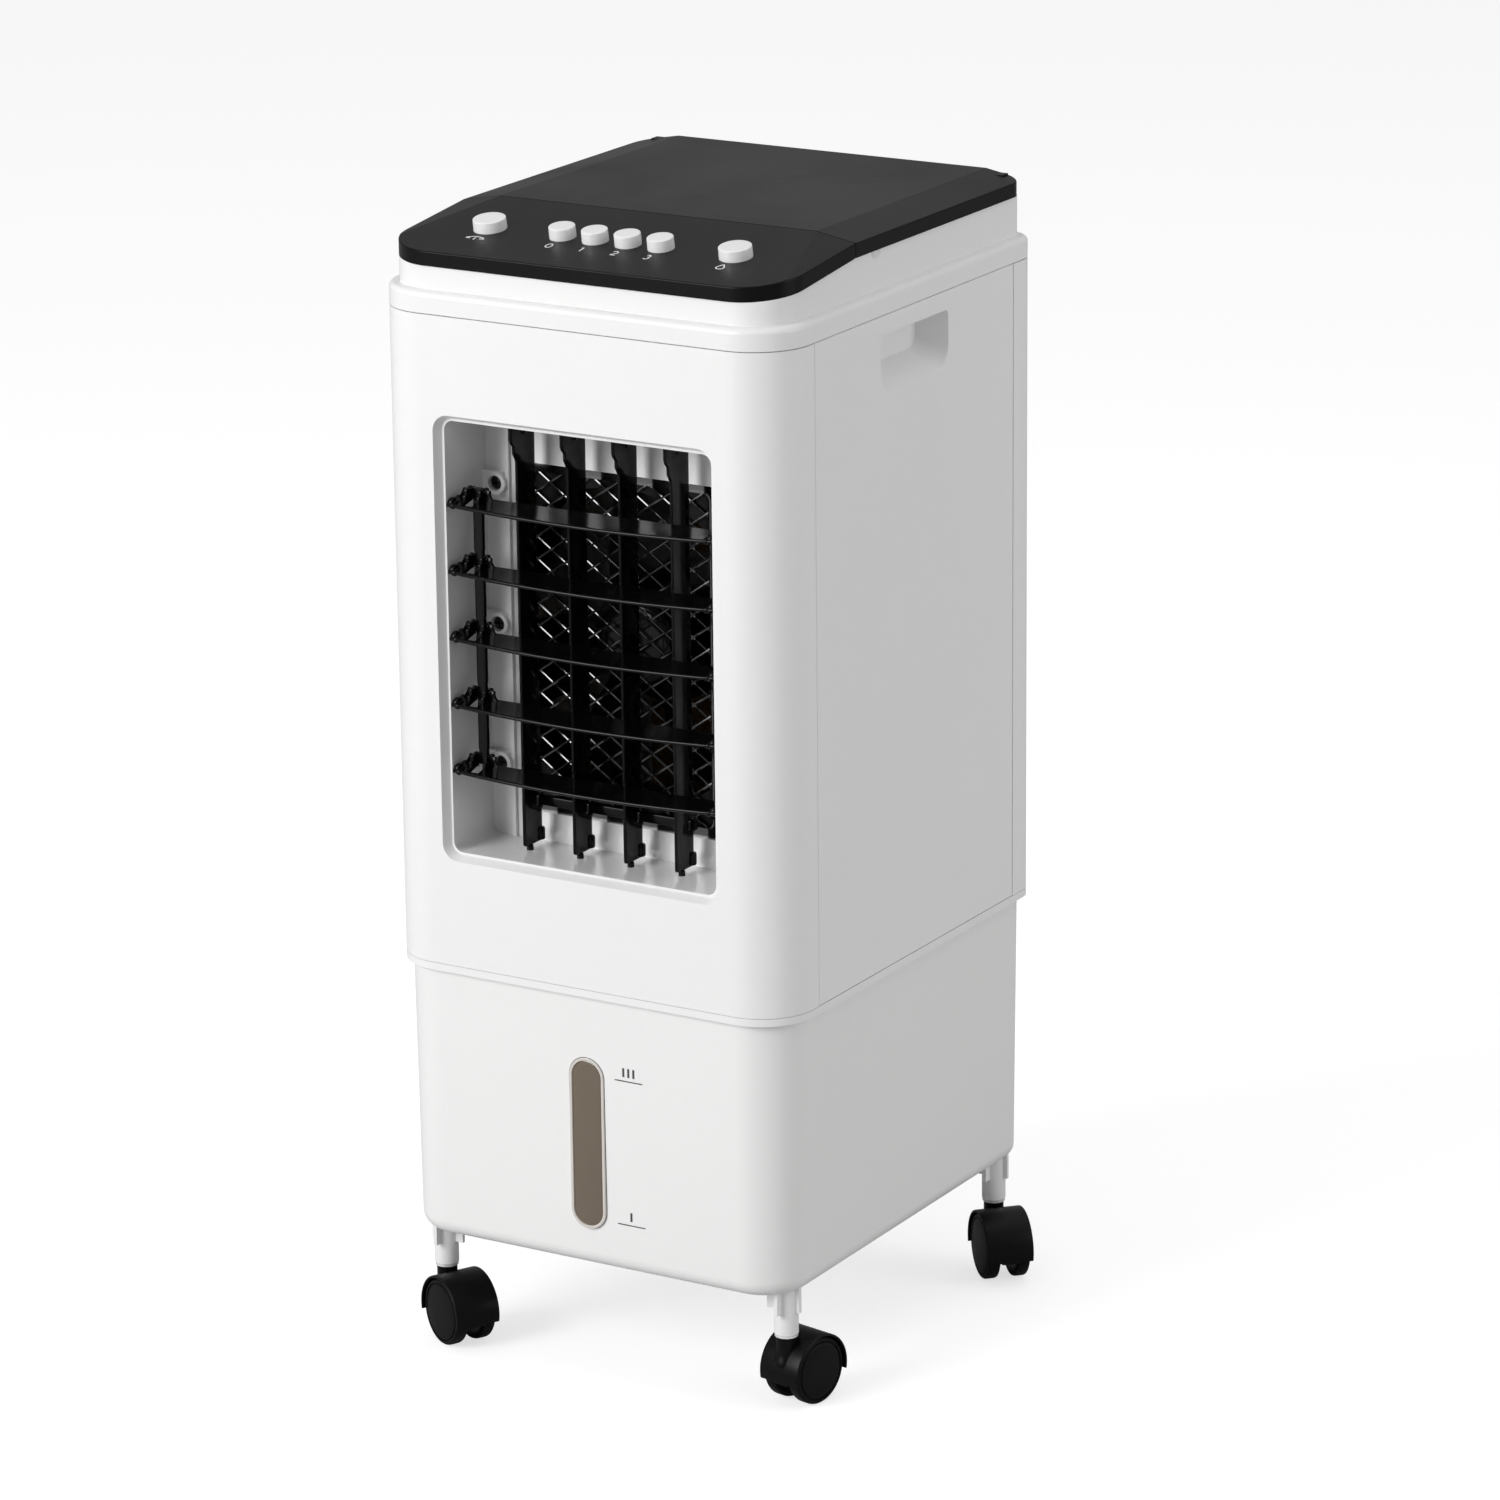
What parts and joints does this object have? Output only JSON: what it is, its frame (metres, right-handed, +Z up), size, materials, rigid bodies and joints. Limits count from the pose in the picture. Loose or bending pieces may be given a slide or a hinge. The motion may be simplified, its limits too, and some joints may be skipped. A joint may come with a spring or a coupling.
{
  "type": "evaporative cooler",
  "caption": "Tower evaporative cooler on casters: louvred air outlet, row of push buttons, hinged lid, rear grille and pad, and a water tank with a level window.",
  "frame": {"origin": "on the floor, under the middle of the casing", "axes": "+Z up, +Y towards the rear grille, +X to the right-hand side as seen from the front"},
  "size_m": [0.2718, 0.269, 0.604],
  "materials": {
    "white_shell": "satin moulded plastic",
    "white_gloss": "glossy moulded plastic",
    "charcoal": "satin charcoal plastic",
    "gloss_black": "glossy black plastic",
    "matte_black": "satin black plastic",
    "motor_steel": "painted steel",
    "steel": "plated steel",
    "pad": "corrugated cellulose",
    "mesh": "fine woven mesh",
    "hose": "soft clear-grey tube",
    "smoked": "smoked translucent plastic",
    "wheel_black": "satin black nylon with a hard tread"
  },
  "bodies": {
    "casing": {"front_cover": "white_shell", "air_duct": "white_gloss", "duct_screws": "steel", "finger_guard": "gloss_black", "fan_shroud": "matte_black", "fan_bracket": "matte_black", "fan_motor": "motor_steel", "swing_motor": "motor_steel", "side_panel_left": "white_shell", "side_panel_right": "white_shell", "rear_frame": "white_shell", "rear_screws": "steel", "cooling_pad": "pad", "water_tray": "white_shell", "water_pump": "matte_black", "pump_hose": "hose", "cord_gland": "matte_black", "base_frame": "white_shell", "water_tank": "white_gloss", "level_window": "smoked", "caster_stems": "steel", "control_panel": "charcoal", "switch_block": "matte_black", "top_frame": "white_shell"},
    "lid": {"top_lid": "charcoal", "lid_hinge_pins": "steel"},
    "grille": {"rear_grille": "white_shell", "dust_filter": "mesh"},
    "fan": {"fan_impeller": "matte_black"},
    "crank": {"swing_crank": "matte_black"},
    "key_swing": {"button_swing": "white_gloss"},
    "key_off": {"button_off": "white_gloss"},
    "key_low": {"button_low": "white_gloss"},
    "key_mid": {"button_mid": "white_gloss"},
    "key_high": {"button_high": "white_gloss"},
    "key_cool": {"button_cool": "white_gloss"},
    "louvre_blade_1": {"louvre_1": "gloss_black"},
    "louvre_blade_2": {"louvre_2": "gloss_black"},
    "louvre_blade_3": {"louvre_3": "gloss_black"},
    "louvre_blade_4": {"louvre_4": "gloss_black"},
    "louvre_blade_5": {"louvre_5": "gloss_black"},
    "louvre_bar": {"louvre_link": "gloss_black"},
    "vane_blade_1": {"vane_1": "gloss_black"},
    "vane_blade_2": {"vane_2": "gloss_black"},
    "vane_blade_3": {"vane_3": "gloss_black"},
    "vane_blade_4": {"vane_4": "gloss_black"},
    "vane_bar": {"vane_link": "gloss_black"},
    "swivel_fl": {"caster_fl_hood": "matte_black"},
    "wheel_fl_1": {"caster_fl_wheel_1": "wheel_black"},
    "wheel_fl_2": {"caster_fl_wheel_2": "wheel_black"},
    "swivel_fr": {"caster_fr_hood": "matte_black"},
    "wheel_fr_1": {"caster_fr_wheel_1": "wheel_black"},
    "wheel_fr_2": {"caster_fr_wheel_2": "wheel_black"},
    "swivel_rl": {"caster_rl_hood": "matte_black"},
    "wheel_rl_1": {"caster_rl_wheel_1": "wheel_black"},
    "wheel_rl_2": {"caster_rl_wheel_2": "wheel_black"},
    "swivel_rr": {"caster_rr_hood": "matte_black"},
    "wheel_rr_1": {"caster_rr_wheel_1": "wheel_black"},
    "wheel_rr_2": {"caster_rr_wheel_2": "wheel_black"}
  },
  "joints": [
    {"name": "lid_hinge", "type": "hinge", "parent": "casing", "child": "lid", "pos_m": [0, 0.1252, 0.599], "axis": [-1, 0, 0], "range_deg": [0, 90]},
    {"name": "grille_pull", "type": "slide", "parent": "casing", "child": "grille", "axis": [0, 1, 0], "range_m": [0, 0.06]},
    {"name": "fan_spin", "type": "hinge", "parent": "casing", "child": "fan", "pos_m": [0, -0.0645, 0.3855], "axis": [0, 1, 0], "continuous": true},
    {"name": "crank_turn", "type": "hinge", "parent": "casing", "child": "crank", "pos_m": [0, -0.107, 0.266], "axis": [0, 0, 1], "continuous": true},
    {"name": "press_swing", "type": "slide", "parent": "casing", "child": "key_swing", "axis": [0, 0.1606, -0.987], "range_m": [0, 0.003], "stiffness_N_per_m": 250},
    {"name": "press_off", "type": "slide", "parent": "casing", "child": "key_off", "axis": [0, 0.1606, -0.987], "range_m": [0, 0.003], "stiffness_N_per_m": 250},
    {"name": "press_low", "type": "slide", "parent": "casing", "child": "key_low", "axis": [0, 0.1606, -0.987], "range_m": [0, 0.003], "stiffness_N_per_m": 250},
    {"name": "press_mid", "type": "slide", "parent": "casing", "child": "key_mid", "axis": [0, 0.1606, -0.987], "range_m": [0, 0.003], "stiffness_N_per_m": 250},
    {"name": "press_high", "type": "slide", "parent": "casing", "child": "key_high", "axis": [0, 0.1606, -0.987], "range_m": [0, 0.003], "stiffness_N_per_m": 250},
    {"name": "press_cool", "type": "slide", "parent": "casing", "child": "key_cool", "axis": [0, 0.1606, -0.987], "range_m": [0, 0.003], "stiffness_N_per_m": 250},
    {"name": "louvre_tilt_1", "type": "hinge", "parent": "casing", "child": "louvre_blade_1", "pos_m": [0, -0.1247, 0.4617], "axis": [1, 0, 0], "range_deg": [-38, 16]},
    {"name": "louvre_tilt_2", "type": "hinge", "parent": "casing", "child": "louvre_blade_2", "pos_m": [0, -0.1247, 0.4266], "axis": [1, 0, 0], "range_deg": [-38, 16]},
    {"name": "louvre_tilt_3", "type": "hinge", "parent": "casing", "child": "louvre_blade_3", "pos_m": [0, -0.1247, 0.3915], "axis": [1, 0, 0], "range_deg": [-38, 16]},
    {"name": "louvre_tilt_4", "type": "hinge", "parent": "casing", "child": "louvre_blade_4", "pos_m": [0, -0.1247, 0.3564], "axis": [1, 0, 0], "range_deg": [-38, 16]},
    {"name": "louvre_tilt_5", "type": "hinge", "parent": "casing", "child": "louvre_blade_5", "pos_m": [0, -0.1247, 0.3213], "axis": [1, 0, 0], "range_deg": [-38, 16]},
    {"name": "louvre_bar_pivot", "type": "hinge", "parent": "louvre_blade_1", "child": "louvre_bar", "pos_m": [-0.066, -0.1165, 0.4663], "axis": [1, 0, 0], "range_deg": [-16, 38]},
    {"name": "vane_turn_1", "type": "hinge", "parent": "casing", "child": "vane_blade_1", "pos_m": [-0.04545, -0.107, 0.3], "axis": [0, 0, 1], "range_deg": [-30, 30]},
    {"name": "vane_turn_2", "type": "hinge", "parent": "casing", "child": "vane_blade_2", "pos_m": [-0.01515, -0.107, 0.3], "axis": [0, 0, 1], "range_deg": [-30, 30]},
    {"name": "vane_turn_3", "type": "hinge", "parent": "casing", "child": "vane_blade_3", "pos_m": [0.01515, -0.107, 0.3], "axis": [0, 0, 1], "range_deg": [-30, 30]},
    {"name": "vane_turn_4", "type": "hinge", "parent": "casing", "child": "vane_blade_4", "pos_m": [0.04545, -0.107, 0.3], "axis": [0, 0, 1], "range_deg": [-30, 30]},
    {"name": "vane_bar_pivot", "type": "hinge", "parent": "vane_blade_1", "child": "vane_bar", "pos_m": [-0.04545, -0.0965, 0.302], "axis": [0, 0, 1], "range_deg": [-30, 30]},
    {"name": "swivel_fl", "type": "hinge", "parent": "casing", "child": "swivel_fl", "pos_m": [-0.1038, -0.106, 0.03], "axis": [0, 0, 1], "continuous": true},
    {"name": "roll_fl_1", "type": "hinge", "parent": "swivel_fl", "child": "wheel_fl_1", "pos_m": [-0.0922, -0.11209, 0.018], "axis": [0.4648, 0.8854, 0], "continuous": true},
    {"name": "roll_fl_2", "type": "hinge", "parent": "swivel_fl", "child": "wheel_fl_2", "pos_m": [-0.0922, -0.11209, 0.018], "axis": [0.4648, 0.8854, 0], "continuous": true},
    {"name": "swivel_fr", "type": "hinge", "parent": "casing", "child": "swivel_fr", "pos_m": [0.1038, -0.106, 0.03], "axis": [0, 0, 1], "continuous": true},
    {"name": "roll_fr_1", "type": "hinge", "parent": "swivel_fr", "child": "wheel_fr_1", "pos_m": [0.10634, -0.09315, 0.018], "axis": [-0.981, 0.1942, 0], "continuous": true},
    {"name": "roll_fr_2", "type": "hinge", "parent": "swivel_fr", "child": "wheel_fr_2", "pos_m": [0.10634, -0.09315, 0.018], "axis": [-0.981, 0.1942, 0], "continuous": true},
    {"name": "swivel_rl", "type": "hinge", "parent": "casing", "child": "swivel_rl", "pos_m": [-0.1038, 0.1175, 0.03], "axis": [0, 0, 1], "continuous": true},
    {"name": "roll_rl_1", "type": "hinge", "parent": "swivel_rl", "child": "wheel_rl_1", "pos_m": [-0.11308, 0.10825, 0.018], "axis": [0.7059, -0.7083, 0], "continuous": true},
    {"name": "roll_rl_2", "type": "hinge", "parent": "swivel_rl", "child": "wheel_rl_2", "pos_m": [-0.11308, 0.10825, 0.018], "axis": [0.7059, -0.7083, 0], "continuous": true},
    {"name": "swivel_rr", "type": "hinge", "parent": "casing", "child": "swivel_rr", "pos_m": [0.1038, 0.1175, 0.03], "axis": [0, 0, 1], "continuous": true},
    {"name": "roll_rr_1", "type": "hinge", "parent": "swivel_rr", "child": "wheel_rr_1", "pos_m": [0.11308, 0.10825, 0.018], "axis": [0.7059, 0.7083, 0], "continuous": true},
    {"name": "roll_rr_2", "type": "hinge", "parent": "swivel_rr", "child": "wheel_rr_2", "pos_m": [0.11308, 0.10825, 0.018], "axis": [0.7059, 0.7083, 0], "continuous": true}
  ],
  "couplings": [
    {"joint": "louvre_tilt_2", "follows": "louvre_tilt_1", "ratio": 1},
    {"joint": "louvre_tilt_3", "follows": "louvre_tilt_1", "ratio": 1},
    {"joint": "louvre_tilt_4", "follows": "louvre_tilt_1", "ratio": 1},
    {"joint": "louvre_tilt_5", "follows": "louvre_tilt_1", "ratio": 1},
    {"joint": "louvre_bar_pivot", "follows": "louvre_tilt_1", "ratio": -1},
    {"joint": "vane_turn_2", "follows": "vane_turn_1", "ratio": 1},
    {"joint": "vane_turn_3", "follows": "vane_turn_1", "ratio": 1},
    {"joint": "vane_turn_4", "follows": "vane_turn_1", "ratio": 1},
    {"joint": "vane_bar_pivot", "follows": "vane_turn_1", "ratio": -1}
  ]
}
